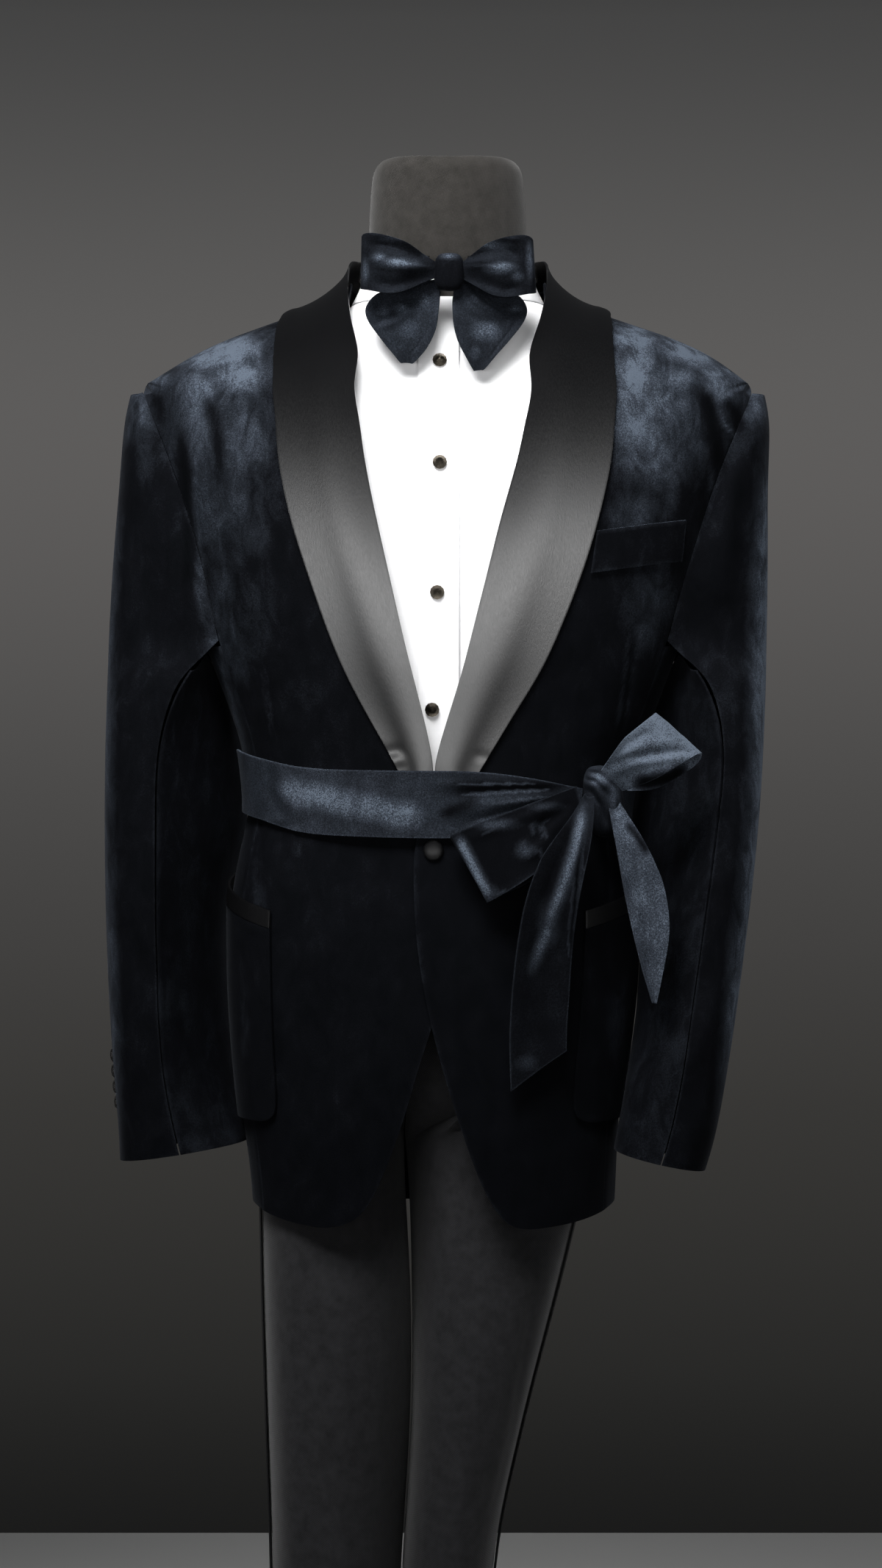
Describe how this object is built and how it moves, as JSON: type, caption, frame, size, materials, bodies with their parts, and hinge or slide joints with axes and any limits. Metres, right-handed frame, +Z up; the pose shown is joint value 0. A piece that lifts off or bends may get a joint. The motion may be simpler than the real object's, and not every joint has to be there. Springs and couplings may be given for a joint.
{
  "type": "velvet tuxedo on a limbless dress form",
  "caption": "Shawl-collar velvet dinner suit with knotted sash, white dress shirt, bow tie and satin-striped trousers, hung open on a limbless dress form with a round foot.",
  "frame": {"origin": "centre of the stand's round foot, on the floor it rests on", "axes": "+Z up, the suit faces -Y, and +X is the wearer's left"},
  "size_m": [0.5431, 0.34, 1.592],
  "materials": {
    "midnight_velvet": "dense short-pile velvet with a soft blue-grey sheen",
    "black_satin": "silk satin with a broad soft shine",
    "white_poplin": "plain matt cotton poplin",
    "charcoal_barathea": "matt wool with a fine diagonal weave",
    "form_jersey": "dark matt jersey stretched over the form",
    "black_horn": "polished black horn-like buttons",
    "gunmetal": "dark plated cone studs",
    "brushed_steel": "satin steel pole and foot"
  },
  "bodies": {
    "root": {"jacket_front_left": "midnight_velvet", "jacket_front_right": "midnight_velvet", "jacket_side_left": "midnight_velvet", "jacket_side_right": "midnight_velvet", "jacket_back_left": "midnight_velvet", "jacket_back_right": "midnight_velvet", "sleeve_left_upper": "midnight_velvet", "sleeve_left_under": "midnight_velvet", "sleeve_right_upper": "midnight_velvet", "sleeve_right_under": "midnight_velvet", "shawl_collar_left": "black_satin", "shawl_collar_right": "black_satin", "pocket_left": "midnight_velvet", "pocket_right": "midnight_velvet", "pocket_trim_left": "black_satin", "pocket_trim_right": "black_satin", "breast_welt": "midnight_velvet", "front_button": "black_satin", "cuff_button_left_1": "black_horn", "cuff_button_left_2": "black_horn", "cuff_button_left_3": "black_horn", "cuff_button_left_4": "black_horn", "cuff_button_right_1": "black_horn", "cuff_button_right_2": "black_horn", "cuff_button_right_3": "black_horn", "cuff_button_right_4": "black_horn", "sash_front": "midnight_velvet", "sash_back": "midnight_velvet", "sash_knot": "midnight_velvet", "sash_loop_upper": "midnight_velvet", "sash_loop_lower": "midnight_velvet", "sash_tail_long": "midnight_velvet", "sash_tail_short": "midnight_velvet", "bow_knot": "midnight_velvet", "bow_loop_left": "midnight_velvet", "bow_loop_right": "midnight_velvet", "bow_tail_left": "midnight_velvet", "bow_tail_right": "midnight_velvet", "bow_strap": "black_satin", "shirt_front_left": "white_poplin", "shirt_front_right": "white_poplin", "shirt_back": "white_poplin", "shirt_collar": "white_poplin", "shirt_placket": "white_poplin", "shirt_stud_1": "gunmetal", "shirt_stud_2": "gunmetal", "shirt_stud_3": "gunmetal", "shirt_stud_4": "gunmetal", "trouser_front_left": "charcoal_barathea", "trouser_front_right": "charcoal_barathea", "trouser_back_left": "charcoal_barathea", "trouser_back_right": "charcoal_barathea", "trouser_waistband": "charcoal_barathea", "satin_stripe_left": "black_satin", "satin_stripe_right": "black_satin", "dress_form": "form_jersey", "neck_block": "form_jersey", "stand_pole": "brushed_steel", "stand_foot": "brushed_steel"}
  },
  "joints": []
}
